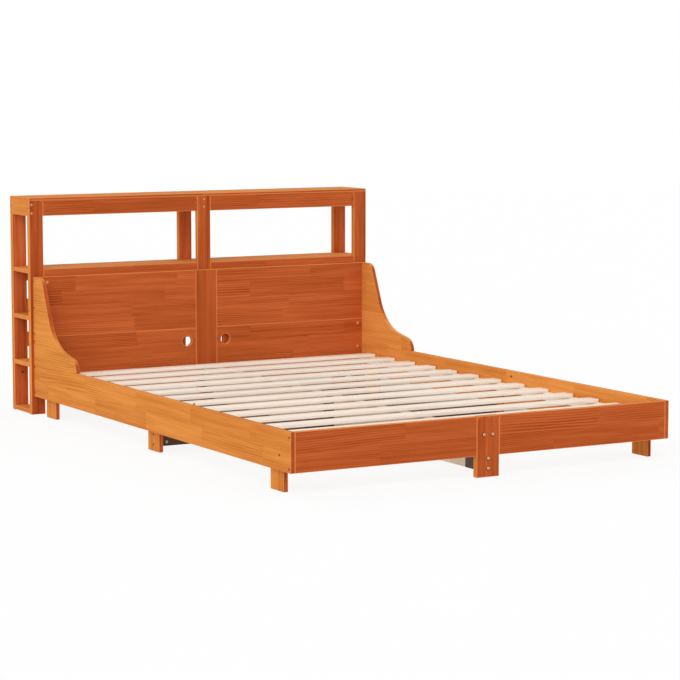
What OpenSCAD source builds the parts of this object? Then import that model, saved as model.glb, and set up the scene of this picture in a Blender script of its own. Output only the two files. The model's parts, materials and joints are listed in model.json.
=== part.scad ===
// Slatted pine bed frame with a bookcase headboard.
// The side rails sweep up in an S at the head and close the ends of the headboard panel.
// +X is to the right seen from the foot, +Y runs from the foot to the head, +Z is up.
// The origin is on the floor, under the middle of the whole frame.

/* [Mattress] */
// Width of the mattress
mattress_w = 1400; // [900:10:1800]
// Length of the mattress
mattress_l = 2000; // [1900:10:2200]
// Play between the mattress and each side rail
side_play = 9; // [2:1:20]
// Play between the mattress and the headboard, and the same at the footboard
end_play = 4; // [1:1:20]

/* [Boards] */
// Thickness of the side rails, the footboard, the legs and the headboard panels
board_t = 16; // [12:1:22]
// Bevel on the long edges of each board
edge_bevel = 1.6; // [0.4:0.2:2.4]

/* [Side rails] */
// Height of a side rail and of the footboard
rail_h = 130; // [110:5:180]
// Free height under the side rails
rail_lift = 70; // [60:5:160]
// Length of the raised head of a side rail
sweep_l = 400; // [390:10:520]
// Length of the level top of the raised head
sweep_flat = 53; // [30:1:70]
// Radius of the shoulder at the top of the raised head
shoulder_r = 45; // [30:5:55]
// Radius of the hollow of the sweep
hollow_r = 195; // [140:5:210]
// Radius of the toe where the sweep meets the rail
toe_r = 50; // [30:5:60]
// Steepness of the upper flank of the sweep in degrees
flank_angle = 67; // [62:1:70]
// Steepness of the lower slope of the sweep in degrees
slope_angle = 11; // [8:1:14]

/* [Footboard leg] */
// Width of the leg in the middle of the footboard
mid_leg_w = 86; // [60:2:120]
// Thickness of the leg in the middle of the footboard
mid_leg_t = 22; // [18:1:30]

/* [Legs] */
// Width of a leg along the side rail
leg_w = 88; // [60:2:110]
// Distance from the foot end to the foot legs
leg_inset = 74; // [40:2:120]
// Distance from the headboard to the head legs
head_leg_inset = 81; // [40:2:120]

/* [Slats] */
// Width of a slat
slat_w = 54; // [40:2:70]
// Thickness of a slat
slat_t = 12; // [10:1:18]
// Distance from the footboard to the first slat
slat_foot_margin = 46; // [40:1:80]
// Distance from the last slat to the headboard
slat_head_margin = 65; // [40:1:80]
// Depth of the slat tops below the top of the side rails
slat_drop = 38; // [25:1:50]
// Gap between a slat's end and the side rail
slat_end_gap = 4; // [1:1:10]
// Radius of a slat's corners
slat_corner = 6; // [2:1:15]

/* [Slat supports] */
// Width of the ledge that is fixed to a side rail
ledge_w = 25; // [20:1:35]
// Height of the ledge that is fixed to a side rail
ledge_h = 28; // [20:1:35]
// Gap between a ledge's ends and the footboard and panel
ledge_end_gap = 20; // [5:5:40]
// Thickness of the middle beam
beam_t = 30; // [18:1:40]
// Free height under the middle beam
beam_lift = 18; // [10:1:22]

/* [Steel fittings] */
// Height of a cross bar
bar_h = 50; // [40:2:60]
// Depth of a cross bar
bar_d = 30; // [24:1:40]
// Free height under a cross bar
bar_lift = 17; // [10:1:30]
// Height of a cross bar's bolt above the bar's underside
bar_bolt_rise = 13.5; // [10:0.5:20]
// Height of the lower pressed groove above the bar's underside
low_groove_rise = 10; // [6:0.5:14]
// Height of the upper pressed groove above the bar's underside
high_groove_rise = 22; // [18:0.5:30]
// Width of a pressed groove
groove_w = 3; // [2:0.5:4]
// Width of the plate that fixes a cross bar to the middle beam
bar_plate_w = 76; // [44:2:100]
// Height of the plate that fixes a cross bar to the middle beam
bar_plate_h = 108; // [80:2:120]
// Thickness of the steel of the bars and shoes
steel_t = 2; // [1.5:0.5:4]
// Length of the cheeks of a beam shoe
shoe_l = 88; // [60:2:140]
// Height of the cheeks of a beam shoe
shoe_h = 50; // [40:2:60]
// Width of the back plate of a beam shoe
shoe_w = 56; // [50:2:58]
// Diameter of a bolt's shank
bolt_d = 6; // [5:0.5:8]
// Diameter of a bolt's domed head
bolt_head_d = 14; // [12:0.5:16]
// Height of a bolt's domed head
bolt_head_h = 3; // [2:0.5:4]
// Clearance round a bolt's shank
bolt_clearance = 0.4; // [0.2:0.1:0.8]
// Height of the lowest bolt of the footboard leg above the floor
low_bolt_z = 28; // [26:0.5:34]
// Distance from the lowest bolt of the footboard leg to the one above it
low_bolt_rise = 32.5; // [20:0.5:50]
// Depth of the pair of bolts below the top of the beam
pair_drop = 11.5; // [10:0.5:30]
// Distance from the middle of the bed to each bolt of the pair
pair_x = 16.5; // [16:0.5:20]
// Distance from a cross bar's end to its bolt
bar_bolt_inset = 26; // [20:1:40]

/* [Headboard panels] */
// Height of one board of a headboard panel
panel_h = 228; // [220:2:260]
// Width of the stile between the two panels
stile_w = 90; // [60:2:120]
// Radius of a cable hole
cable_r = 21; // [12:1:30]
// Distance from the middle of the bed to a cable hole
cable_x = 84; // [76:1:160]
// Depth of a cable hole's middle below the seam of the panel
cable_drop = 50; // [40:1:120]
// Distance from the middle of the bed to the battens behind the panels
batten_x = 82; // [66:1:160]
// Width of a batten
batten_w = 56; // [40:2:80]
// Distance from the side rails to the bolts of the lower panels
panel_bolt_inset = 21; // [12:1:22]
// Depth of the upper bolt of a lower panel below the seam
panel_bolt_drop = 19; // [12:1:40]

/* [Bookcase] */
// Depth of the bookcase
case_d = 190; // [150:5:260]
// Height of the bookcase
case_h = 825; // [780:5:900]
// Overhang of the bookcase beyond each side rail
case_overhang = 11; // [0:1:20]
// Width of a post
post_w = 56; // [50:2:70]
// Thickness of the posts and of the rails between them
post_t = 22; // [18:1:28]
// Thickness of the top boards
top_t = 9; // [8:1:20]
// Height of the rails under the top boards
top_rail_h = 60; // [40:2:70]
// Thickness of the rails that run from front to rear under the top boards
cross_rail_t = 20; // [16:1:26]
// Height of the other rails
back_rail_h = 56; // [40:2:60]
// Distance from one back rail to the next
back_rail_pitch = 128; // [100:2:140]
// Thickness of a shelf
shelf_t = 16; // [14:1:20]
// Height above the floor of the tops of the boards between the side posts' feet
base_top = 18; // [18:1:40]
// Distance from the top of one shelf to the top of the next
shelf_pitch = 178.6; // [170:0.2:182]
// Reveal of the upper shelf's top above the panels
shelf_rise = 28; // [20:1:40]

/* [Hidden] */
$fn = 72;

pine = [0.80, 0.44, 0.19];
pale_pine = [0.93, 0.86, 0.76];
dark_steel = [0.24, 0.21, 0.19];
nickel = [0.72, 0.70, 0.67];

// Widths, with the bed's middle at x = 0
inner_x = mattress_w / 2 + side_play;
outer_x = inner_x + board_t;
case_x = outer_x + case_overhang;

// Lengths, from the bolt heads at the foot to the back of the bookcase
rail_l = mattress_l + 2 * end_play + 2 * board_t;
total_l = bolt_head_h + rail_l + case_d;
foot_y = bolt_head_h - total_l / 2;
case_y = foot_y + rail_l;
back_y = case_y + case_d;
bay_foot_y = foot_y + board_t;
bay_head_y = case_y - board_t;

// Heights above the floor
rail_top = rail_lift + rail_h;
panel_seam = rail_lift + panel_h;
panel_top = rail_lift + 2 * panel_h;
slat_top = rail_top - slat_drop;
slat_bed = slat_top - slat_t;
leg_h = slat_bed - ledge_h;
beam_h = slat_bed - beam_lift;
post_h = case_h - top_t;
shelf_top = panel_top + shelf_rise;

// One slat for each slat node, spread evenly between the two margins
slat_count = 13;
slat_first_y = bay_foot_y + slat_foot_margin;
slat_last_y = bay_head_y - slat_head_margin - slat_w;
slat_pitch = (slat_last_y - slat_first_y) / (slat_count - 1);

// A leg's front edge for the foot, middle and head pair
leg_foot_y = foot_y + leg_inset;
leg_head_y = case_y - head_leg_inset - leg_w;
leg_middle_y = (leg_foot_y + leg_head_y) / 2;

// Heights of the pair of bolts in each shoe and of the bolt in each cross bar
pair_z = slat_bed - pair_drop;
bar_bolt_z = bar_lift + bar_bolt_rise;

// A rectangle with its corners cut at 45 degrees
module bevelled(w, h) {
    b = min(edge_bevel, w / 4, h / 4);
    polygon([[b, 0], [w - b, 0], [w, b], [w, h - b], [w - b, h], [b, h], [0, h - b], [0, b]]);
}

// A board from corner p with size s, with every edge bevelled
module board(p, s) {
    translate(p) intersection() {
        linear_extrude(s.z) bevelled(s.x, s.y);
        translate([0, s.y, 0]) rotate([90, 0, 0]) linear_extrude(s.y) bevelled(s.x, s.z);
        rotate([90, 0, 90]) linear_extrude(s.x) bevelled(s.y, s.z);
    }
}

// One copy on the left, or its mirror image on the right
module on_side(side) {
    if (side < 0) children();
    else mirror([1, 0, 0]) children();
}

// The sweep, in a plane where u runs from the headboard toward the foot and v is up.
// Each arc is tangent to the straight before and after it, which fixes the middle of the hollow.
head_h = 2 * panel_h;
arc_steps = 20;
toe = [sweep_l - toe_r, rail_h];
shoulder = [sweep_flat, head_h - shoulder_r];
slope_side = [sin(slope_angle), cos(slope_angle)];
flank_side = [sin(flank_angle), cos(flank_angle)];
slope_reach = (toe_r + hollow_r) + toe * slope_side;
flank_reach = (shoulder_r + hollow_r) + shoulder * flank_side;
turn = sin(flank_angle - slope_angle);
hollow_mid = [
    (flank_reach * slope_side.y - slope_reach * flank_side.y) / turn,
    (slope_reach * flank_side.x - flank_reach * slope_side.x) / turn
];

// The points of an arc with centre c and radius r, from angle a to angle b
function arc(c, r, a, b) = [
    for (i = [0:arc_steps]) let (t = a + (b - a) * i / arc_steps) c + r * [cos(t), sin(t)]
];

// The outline of a side rail, seen from outside
module rail_outline() {
    polygon(concat(
        [[0, 0], [rail_l, 0], [rail_l, rail_h]],
        arc(toe, toe_r, 0, 90 - slope_angle),
        arc(hollow_mid, hollow_r, 270 - slope_angle, 270 - flank_angle),
        arc(shoulder, shoulder_r, 90 - flank_angle, 90),
        [[0, head_h]]
    ));
}

module side_rail(side) {
    color(pine) on_side(side)
        translate([-inner_x, case_y, rail_lift]) rotate([90, 0, -90])
            linear_extrude(board_t) rail_outline();
}

module footboard(side) {
    color(pine) on_side(side)
        board([-inner_x, foot_y, rail_lift], [inner_x - mid_leg_w / 2, board_t, rail_h]);
}

// The bolts' places in the stile and in the footboard leg, as [x, z]
pair_bolts = [[-pair_x, pair_z], [pair_x, pair_z]];
foot_bolts = concat(pair_bolts, [[0, low_bolt_z + low_bolt_rise], [0, low_bolt_z]]);
// The bolts' places in the lower headboard panels, as [x, z]
panel_bolts = [
    for (side = [-1, 1], z = [panel_seam - panel_bolt_drop, panel_seam - panel_h / 2])
        [side * (inner_x - panel_bolt_inset), z]
];

// Clearance holes for bolts that run along +Y from the plane y
module bolt_holes(places, y, l) {
    for (p = places)
        translate([p.x, y - 1, p[1]]) rotate([-90, 0, 0])
            cylinder(h = l + 2, d = bolt_d + 2 * bolt_clearance);
}

module footboard_leg() {
    color(pine) difference() {
        board([-mid_leg_w / 2, foot_y, 0], [mid_leg_w, mid_leg_t, rail_top]);
        bolt_holes(foot_bolts, foot_y, mid_leg_t);
    }
}

module side_leg(side, y) {
    color(pine) on_side(side) board([-inner_x, y, 0], [board_t, leg_w, leg_h]);
}

module ledge(side) {
    l = bay_head_y - bay_foot_y - 2 * ledge_end_gap;
    color(pale_pine) on_side(side)
        board([-inner_x, bay_foot_y + ledge_end_gap, leg_h], [ledge_w, l, ledge_h]);
}

// The beam runs between the back plates of its two steel shoes
beam_foot_y = foot_y + mid_leg_t + steel_t;
beam_head_y = bay_head_y - steel_t;

module middle_beam() {
    color(pale_pine)
        board([-beam_t / 2, beam_foot_y, beam_lift], [beam_t, beam_head_y - beam_foot_y, beam_h]);
}

// A shoe with its back plate on the plane y = 0, opening toward +Y
module shoe(holes) {
    cheek_x = beam_t / 2;
    difference() {
        union() {
            translate([-shoe_w / 2, 0, beam_lift]) cube([shoe_w, steel_t, beam_h]);
            for (x = [-cheek_x - steel_t, cheek_x])
                translate([x, 0, beam_lift]) cube([steel_t, shoe_l, shoe_h]);
        }
        bolt_holes(holes, 0, steel_t);
    }
}

module beam_shoes() {
    color(dark_steel) {
        translate([0, foot_y + mid_leg_t, 0]) shoe(foot_bolts);
        translate([0, bay_head_y, 0]) mirror([0, 1, 0]) shoe(pair_bolts);
    }
}

// A folded steel channel, open at the rear, closed at the leg and welded to a plate at the beam
bar_y = leg_middle_y + leg_w / 2 - bar_d / 2;
bar_x = -inner_x + board_t;
bar_l = -beam_t / 2 - bar_x;

module cross_bar(side) {
    color(dark_steel) on_side(side) translate([bar_x, bar_y, bar_lift]) difference() {
        union() {
            cube([bar_l, bar_d, bar_h]);
            translate([bar_l - steel_t, (bar_d - bar_plate_w) / 2, 0])
                cube([steel_t, bar_plate_w, bar_plate_h]);
        }
        translate([steel_t, steel_t, steel_t])
            cube([bar_l - 2 * steel_t, bar_d, bar_h - 2 * steel_t]);
        for (z = [low_groove_rise, high_groove_rise])
            translate([steel_t, -1, z - groove_w / 2])
                cube([bar_l - 2 * steel_t, 1 + steel_t / 3, groove_w]);
        bolt_holes([for (x = [bar_bolt_inset, bar_l - bar_bolt_inset]) [x, bar_bolt_rise]],
                   0, steel_t);
    }
}

// Length of the shank of a cross bar's bolt
bar_bolt_l = 12;

// A bolt along +Y: its domed head stands before the plane y = 0
module bolt(l) {
    dome_r = (pow(bolt_head_d / 2, 2) + pow(bolt_head_h, 2)) / (2 * bolt_head_h);
    rotate([-90, 0, 0]) union() {
        cylinder(h = l, d = bolt_d);
        rotate_extrude() intersection() {
            translate([0, dome_r - bolt_head_h]) circle(dome_r, $fn = 180);
            translate([0, -bolt_head_h]) square([bolt_head_d, bolt_head_h]);
        }
    }
}

module dome_bolts() {
    color(nickel) {
        for (p = foot_bolts)
            translate([p.x, foot_y, p[1]]) bolt(mid_leg_t + steel_t);
        for (p = pair_bolts)
            translate([p.x, case_y + post_t, p[1]]) mirror([0, 1, 0])
                bolt(steel_t + board_t + post_t);
        for (p = panel_bolts)
            translate([p.x, bay_head_y, p[1]]) bolt(board_t + post_t);
        for (side = [-1, 1], x = [bar_bolt_inset, bar_l - bar_bolt_inset])
            translate([side * (bar_x + x), bar_y, bar_bolt_z]) bolt(bar_bolt_l);
    }
}

// Slat number i, counted from the foot
module slat(i) {
    l = 2 * (inner_x - slat_end_gap);
    y = slat_first_y + (i - 1) * slat_pitch;
    color(pale_pine) translate([0, y + slat_w / 2, slat_bed]) linear_extrude(slat_t) union() {
        square([l - 2 * slat_corner, slat_w], center = true);
        square([l, slat_w - 2 * slat_corner], center = true);
        for (x = [-1, 1], v = [-1, 1])
            translate([x * (l / 2 - slat_corner), v * (slat_w / 2 - slat_corner)])
                circle(slat_corner, $fn = 32);
    }
}

cable_z = panel_seam - cable_drop;

// One board of a headboard panel, 0 for the lower and 1 for the upper
module panel(side, level) {
    color(pine) difference() {
        on_side(side)
            board([-inner_x, bay_head_y, rail_lift + level * panel_h],
                  [inner_x - stile_w / 2, board_t, panel_h]);
        if (level == 0) {
            translate([side * cable_x, bay_head_y - 1, cable_z]) rotate([-90, 0, 0])
                cylinder(h = board_t + 2, r = cable_r);
            bolt_holes(panel_bolts, bay_head_y, board_t);
        }
    }
}

module panel_stile() {
    color(pine) difference() {
        board([-stile_w / 2, bay_head_y, rail_lift], [stile_w, board_t, head_h]);
        bolt_holes(pair_bolts, bay_head_y, board_t);
    }
}

module panel_battens() {
    l = shelf_top - back_rail_h - rail_lift;
    color(pine) for (side = [-1, 1]) on_side(side)
        board([-batten_x - batten_w, case_y, rail_lift], [batten_w, board_t, l]);
}

// A post of the bookcase: column -1, 0 or 1, with y at its front face and z at its foot
module post(column, y, z = 0) {
    x = column * (case_x - post_w / 2) - post_w / 2;
    color(pine) difference() {
        board([x, y, z], [post_w, post_t, post_h - z]);
        if (y == case_y) bolt_holes(concat(pair_bolts, panel_bolts), case_y, post_t);
    }
}

module top_board(side) {
    color(pine) on_side(side) board([-case_x, case_y, post_h], [case_x, case_d, top_t]);
}

// A rail between two posts, with y at its front face and z at its top
module between_posts(side, y, z, h) {
    on_side(side)
        board([-case_x + post_w, y, z - h], [case_x - 1.5 * post_w, post_t, h]);
}

module top_rail(side, y) {
    color(pine) between_posts(side, y, post_h, top_rail_h);
}

// A rail from the front to the rear, with x at its left face
module cross_rail(x) {
    color(pine) board([x, case_y + post_t, post_h - top_rail_h],
                      [cross_rail_t, case_d - 2 * post_t, top_rail_h]);
}

// Shelf number i, counted down from the upper one
module shelf(i) {
    color(pine) board([-case_x, case_y + post_t, shelf_top - i * shelf_pitch - shelf_t],
                      [2 * case_x, case_d - 2 * post_t, shelf_t]);
}

// A short board between the feet of the two posts of a side
module base_board(side) {
    color(pine) on_side(side) board([-case_x, case_y + post_t, base_top - shelf_t],
                                    [post_w, case_d - 2 * post_t, shelf_t]);
}

module shelf_rail(side) {
    color(pine) between_posts(side, case_y, shelf_top, back_rail_h);
}

// Three rails across the whole back; the rear middle post stands on the upper one
module back_rails() {
    color(pine) for (i = [0:2])
        board([-case_x + post_w, back_y - post_t, shelf_top - i * back_rail_pitch - back_rail_h],
              [2 * (case_x - post_w), post_t, back_rail_h]);
}

side_rail(-1);  // rail_left
side_rail(1);  // rail_right
footboard(-1);  // footboard_left
footboard(1);  // footboard_right
footboard_leg();
side_leg(-1, leg_foot_y);  // leg_foot_left
side_leg(1, leg_foot_y);  // leg_foot_right
side_leg(-1, leg_middle_y);  // leg_middle_left
side_leg(1, leg_middle_y);  // leg_middle_right
side_leg(-1, leg_head_y);  // leg_head_left
side_leg(1, leg_head_y);  // leg_head_right
ledge(-1);  // ledge_left
ledge(1);  // ledge_right
middle_beam();
cross_bar(-1);  // cross_bar_left
cross_bar(1);  // cross_bar_right
beam_shoes();
dome_bolts();
slat(1);  // slat_01
slat(2);  // slat_02
slat(3);  // slat_03
slat(4);  // slat_04
slat(5);  // slat_05
slat(6);  // slat_06
slat(7);  // slat_07
slat(8);  // slat_08
slat(9);  // slat_09
slat(10);  // slat_10
slat(11);  // slat_11
slat(12);  // slat_12
slat(13);  // slat_13
panel(-1, 1);  // panel_upper_left
panel(-1, 0);  // panel_lower_left
panel(1, 1);  // panel_upper_right
panel(1, 0);  // panel_lower_right
panel_stile();
panel_battens();
post(-1, case_y);  // post_front_left
post(0, case_y);  // post_front_middle
post(1, case_y);  // post_front_right
post(-1, back_y - post_t);  // post_rear_left
post(0, back_y - post_t, shelf_top);  // post_rear_middle
post(1, back_y - post_t);  // post_rear_right
top_board(-1);  // top_board_left
top_board(1);  // top_board_right
top_rail(-1, case_y);  // top_rail_front_left
top_rail(1, case_y);  // top_rail_front_right
top_rail(-1, back_y - post_t);  // top_rail_rear_left
top_rail(1, back_y - post_t);  // top_rail_rear_right
cross_rail(-case_x);  // top_rail_side_left
cross_rail(case_x - cross_rail_t);  // top_rail_side_right
cross_rail(-cross_rail_t / 2);  // top_rail_cross
shelf(0);  // shelf_upper
shelf(1);  // shelf_middle
shelf(2);  // shelf_lower
base_board(-1);  // base_board_left
base_board(1);  // base_board_right
shelf_rail(-1);  // shelf_rail_left
shelf_rail(1);  // shelf_rail_right
back_rails();
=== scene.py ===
"""Finish, fasteners, light and camera for a slatted pine bed frame with a bookcase headboard.

The solids come packed, in metres, with +X to the right seen from the foot, +Y towards the head
and +Z up. This script gives each board its own piece of stained or bare pine, rounds the edges of
the rails, slats, battens, back rails and steel, adds the bolts and wood screws, and sets up the
studio.
"""

from __future__ import annotations

import json
import logging
import math
import random
from dataclasses import dataclass, field, replace
from enum import Enum
from typing import Any, Callable, Sequence

import bpy
from mathutils import Euler, Matrix, Vector

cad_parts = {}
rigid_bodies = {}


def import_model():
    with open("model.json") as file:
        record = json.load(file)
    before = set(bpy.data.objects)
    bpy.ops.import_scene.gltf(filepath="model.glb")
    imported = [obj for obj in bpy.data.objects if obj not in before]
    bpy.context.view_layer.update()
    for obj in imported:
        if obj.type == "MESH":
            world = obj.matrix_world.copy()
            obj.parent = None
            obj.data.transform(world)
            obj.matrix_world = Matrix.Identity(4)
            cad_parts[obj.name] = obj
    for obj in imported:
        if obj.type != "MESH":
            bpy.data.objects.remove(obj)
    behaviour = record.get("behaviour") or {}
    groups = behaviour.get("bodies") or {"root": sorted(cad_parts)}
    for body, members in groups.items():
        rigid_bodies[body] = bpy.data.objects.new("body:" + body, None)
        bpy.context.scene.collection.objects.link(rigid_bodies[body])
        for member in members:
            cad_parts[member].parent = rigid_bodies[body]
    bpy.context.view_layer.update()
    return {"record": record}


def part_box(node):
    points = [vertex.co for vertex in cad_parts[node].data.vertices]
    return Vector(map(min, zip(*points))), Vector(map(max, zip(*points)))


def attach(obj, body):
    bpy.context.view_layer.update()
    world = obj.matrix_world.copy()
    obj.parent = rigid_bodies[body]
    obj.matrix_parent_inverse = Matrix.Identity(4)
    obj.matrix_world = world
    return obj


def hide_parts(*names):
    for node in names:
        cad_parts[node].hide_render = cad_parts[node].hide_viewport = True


log = logging.getLogger("bed")

MM = 0.001
BODY = "root"
SLAT_COUNT = 13
QUARTER = math.pi / 2
WIDE = 0.2
"""So wide, in metres, that a post, leg, slat or batten is a single stave."""
ONE_STAVE = {"stave_width": WIDE, "stave_length": 3.0}
"""So wide and long, in metres, that a post or leg has no joint."""

STREAKS, CLOUDS, FIBRES = (2.4, 58, 58), (1.6, 7, 7), (22, 620, 620)
"""Patterns in the stain and the wood, in waves a metre along the grain, across and through."""
BENDS, RUNS = (1.5, 4, 4), (6, 30, 30)
"""How the year rings wander, slowly and quickly, in the same way."""

Piece = bpy.types.Object
Colour = tuple[float, float, float, float]
Box = tuple[Vector, Vector]


def rgb(*parts: int) -> Colour:
    """Turn a colour as it is seen into linear light.

    Args:
        parts: Red, green and blue, from 0 to 255.

    Returns:
        The linear colour with full alpha.
    """
    shares = [part / 255 for part in parts]
    return (*(share / 12.92 if share <= 0.04045 else ((share + 0.055) / 1.055) ** 2.4
              for share in shares), 1.0)


class Wire:
    """A socket's value in a shader, on which Python's operators build Math nodes."""

    def __init__(self, graph: "Graph", socket: bpy.types.NodeSocket) -> None:
        """Wrap a socket.

        Args:
            graph: The graph that the socket's node is in.
            socket: An output socket.
        """
        self.graph = graph
        self.socket = socket

    def _math(self, operation: str, *others: Any, swap: bool = False) -> "Wire":
        """Add a Math or Vector Math node, to suit this socket.

        Args:
            operation: The node's operation.
            others: The further operands.
            swap: True to put this wire last.

        Returns:
            The node's result.
        """
        operands = [*others, self] if swap else [self, *others]
        is_vector = any(isinstance(o, tuple) or isinstance(o, Wire) and o.socket.type != "VALUE"
                        for o in operands)
        kind = "ShaderNodeVectorMath" if is_vector else "ShaderNodeMath"
        if is_vector:
            operands = [(o, o, o) if isinstance(o, (int, float)) else o for o in operands]
        return self.graph.add(kind, {"operation": operation}, dict(enumerate(operands)))

    def __add__(self, other: Any) -> "Wire":
        """Add."""
        return self._math("ADD", other)

    __radd__ = __add__

    def __sub__(self, other: Any) -> "Wire":
        """Subtract."""
        return self._math("SUBTRACT", other)

    def __rsub__(self, other: Any) -> "Wire":
        """Subtract this from the other."""
        return self._math("SUBTRACT", other, swap=True)

    def __mul__(self, other: Any) -> "Wire":
        """Multiply."""
        return self._math("MULTIPLY", other)

    __rmul__ = __mul__

    def __truediv__(self, other: Any) -> "Wire":
        """Divide."""
        return self._math("DIVIDE", other)

    def __abs__(self) -> "Wire":
        """Drop the sign."""
        return self._math("ABSOLUTE")

    def floor(self) -> "Wire":
        """Round down."""
        return self._math("FLOOR")

    def root(self) -> "Wire":
        """Take the square root."""
        return self._math("SQRT")

    def low(self, other: Any) -> "Wire":
        """Keep the smaller of two."""
        return self._math("MINIMUM", other)

    def high(self, other: Any) -> "Wire":
        """Keep the larger of two."""
        return self._math("MAXIMUM", other)

    def above(self, limit: Any) -> "Wire":
        """Give 1 above a limit and 0 below it."""
        return self._math("GREATER_THAN", limit)

    def zigzag(self, step: Any) -> "Wire":
        """Go up and down between 0 and a step."""
        return self._math("PINGPONG", step)

    def step(self, start: float, end: float) -> "Wire":
        """Go smoothly from 0 to 1 between two values.

        Args:
            start: The value that gives 0.
            end: The value that gives 1, which may be the smaller of the two.

        Returns:
            The smooth step.
        """
        rise = self.graph.add("ShaderNodeMapRange", {"interpolation_type": "SMOOTHSTEP"},
                              {0: self, 1: min(start, end), 2: max(start, end)})
        return rise if start < end else 1 - rise


class Graph:
    """The node tree of a material or of the world."""

    def __init__(self, owner: bpy.types.Material | bpy.types.World) -> None:
        """Empty the tree.

        Args:
            owner: The material or world that it belongs to.
        """
        owner.use_nodes = True
        self.owner = owner
        self.tree = owner.node_tree
        self.tree.nodes.clear()

    def node(self, kind: str, settings: dict[str, Any], inputs: dict[Any, Any]) -> bpy.types.Node:
        """Add a node.

        Args:
            kind: The node's type.
            settings: Its own settings, set first.
            inputs: A value or a wire for each input, by name or number.

        Returns:
            The node.
        """
        node = self.tree.nodes.new(kind)
        for name, value in settings.items():
            setattr(node, name, value)
        for key, value in inputs.items():
            if isinstance(value, Wire):
                self.tree.links.new(value.socket, node.inputs[key])
            else:
                node.inputs[key].default_value = value
        return node

    def add(self, kind: str, settings: dict[str, Any] | None = None,
            inputs: dict[Any, Any] | None = None, output: int | str = 0) -> Wire:
        """Add a node and take one of its outputs.

        Args:
            kind: The node's type.
            settings: Its own settings.
            inputs: A value or a wire for each input.
            output: The output's name or number.

        Returns:
            The output as a wire.
        """
        return Wire(self, self.node(kind, settings or {}, inputs or {}).outputs[output])

    def mix(self, share: Any, first: Any, second: Any) -> Wire:
        """Mix two colours.

        Args:
            share: How much of the second colour, from 0 to 1.
            first: The first colour.
            second: The second colour.

        Returns:
            The mixed colour.
        """
        settings = {"data_type": "RGBA"}
        return self.add("ShaderNodeMix", settings, {0: share, 6: first, 7: second}, 2)

    def split(self, vector: Wire) -> list[Wire]:
        """Split a vector into its three parts."""
        node = self.node("ShaderNodeSeparateXYZ", {}, {0: vector})
        return [Wire(self, output) for output in node.outputs]

    def join(self, x: Any, y: Any, z: Any) -> Wire:
        """Join three values into a vector."""
        return self.add("ShaderNodeCombineXYZ", {}, {0: x, 1: y, 2: z})

    def noise(self, vector: Wire, scale: float = 1.0, detail: float = 2.0,
              roughness: float = 0.5) -> Wire:
        """Add soft noise, which varies round one half.

        Args:
            vector: Where to read the noise.
            scale: Its scale.
            detail: How many finer layers it has.
            roughness: How strong those layers are.

        Returns:
            The noise's value.
        """
        inputs = {"Vector": vector, "Scale": scale, "Detail": detail, "Roughness": roughness}
        return self.add("ShaderNodeTexNoise", {}, inputs)

    def random(self, x: Any, y: Any, z: Any) -> list[Wire]:
        """Give three random numbers that depend on three values."""
        settings = {"noise_dimensions": "3D"}
        inputs = {"Vector": self.join(x, y, z)}
        return self.split(self.add("ShaderNodeTexWhiteNoise", settings, inputs, "Color"))

    def bump(self, height: Wire, distance: float, strength: float = 1.0) -> Wire:
        """Turn a height into a normal.

        Args:
            height: The height, about 0 to 1.
            distance: The real depth of that height, in metres.
            strength: How strongly it shows.

        Returns:
            The normal.
        """
        inputs = {"Height": height, "Distance": distance, "Strength": strength}
        return self.add("ShaderNodeBump", {}, inputs, "Normal")

    def seen(self) -> Wire:
        """Give 1 to the rays of the camera, mirrors and glass, and 0 to all others."""
        rays = self.node("ShaderNodeLightPath", {}, {})
        camera, mirror, glass = (Wire(self, rays.outputs[kind]) for kind in (
            "Is Camera Ray", "Is Glossy Ray", "Is Transmission Ray"))
        return camera.high(mirror).high(glass)

    def surface(self, inputs: dict[str, Any]) -> bpy.types.Material:
        """Finish the material with a Principled shader.

        Args:
            inputs: The shader's values and wires.

        Returns:
            The material.
        """
        shader = self.add("ShaderNodeBsdfPrincipled", {}, inputs)
        self.node("ShaderNodeOutputMaterial", {}, {"Surface": shader})
        return self.owner


class Grain(Enum):
    """Which way a board lies: the axes along its grain, across it and through the board."""

    X = (0, 2, 1)
    Y = (1, 2, 0)
    Z = (2, 0, 1)
    X_FLAT = (0, 1, 2)
    Y_SIDE = (2, 1, 0)


@dataclass(frozen=True)
class Hole:
    """A round hole along Y, in metres, whose rim is sanded.

    Attributes:
        x: Place of its middle along X.
        z: Place of its middle along Z.
        radius: Its radius.
    """

    x: float
    z: float
    radius: float


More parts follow.
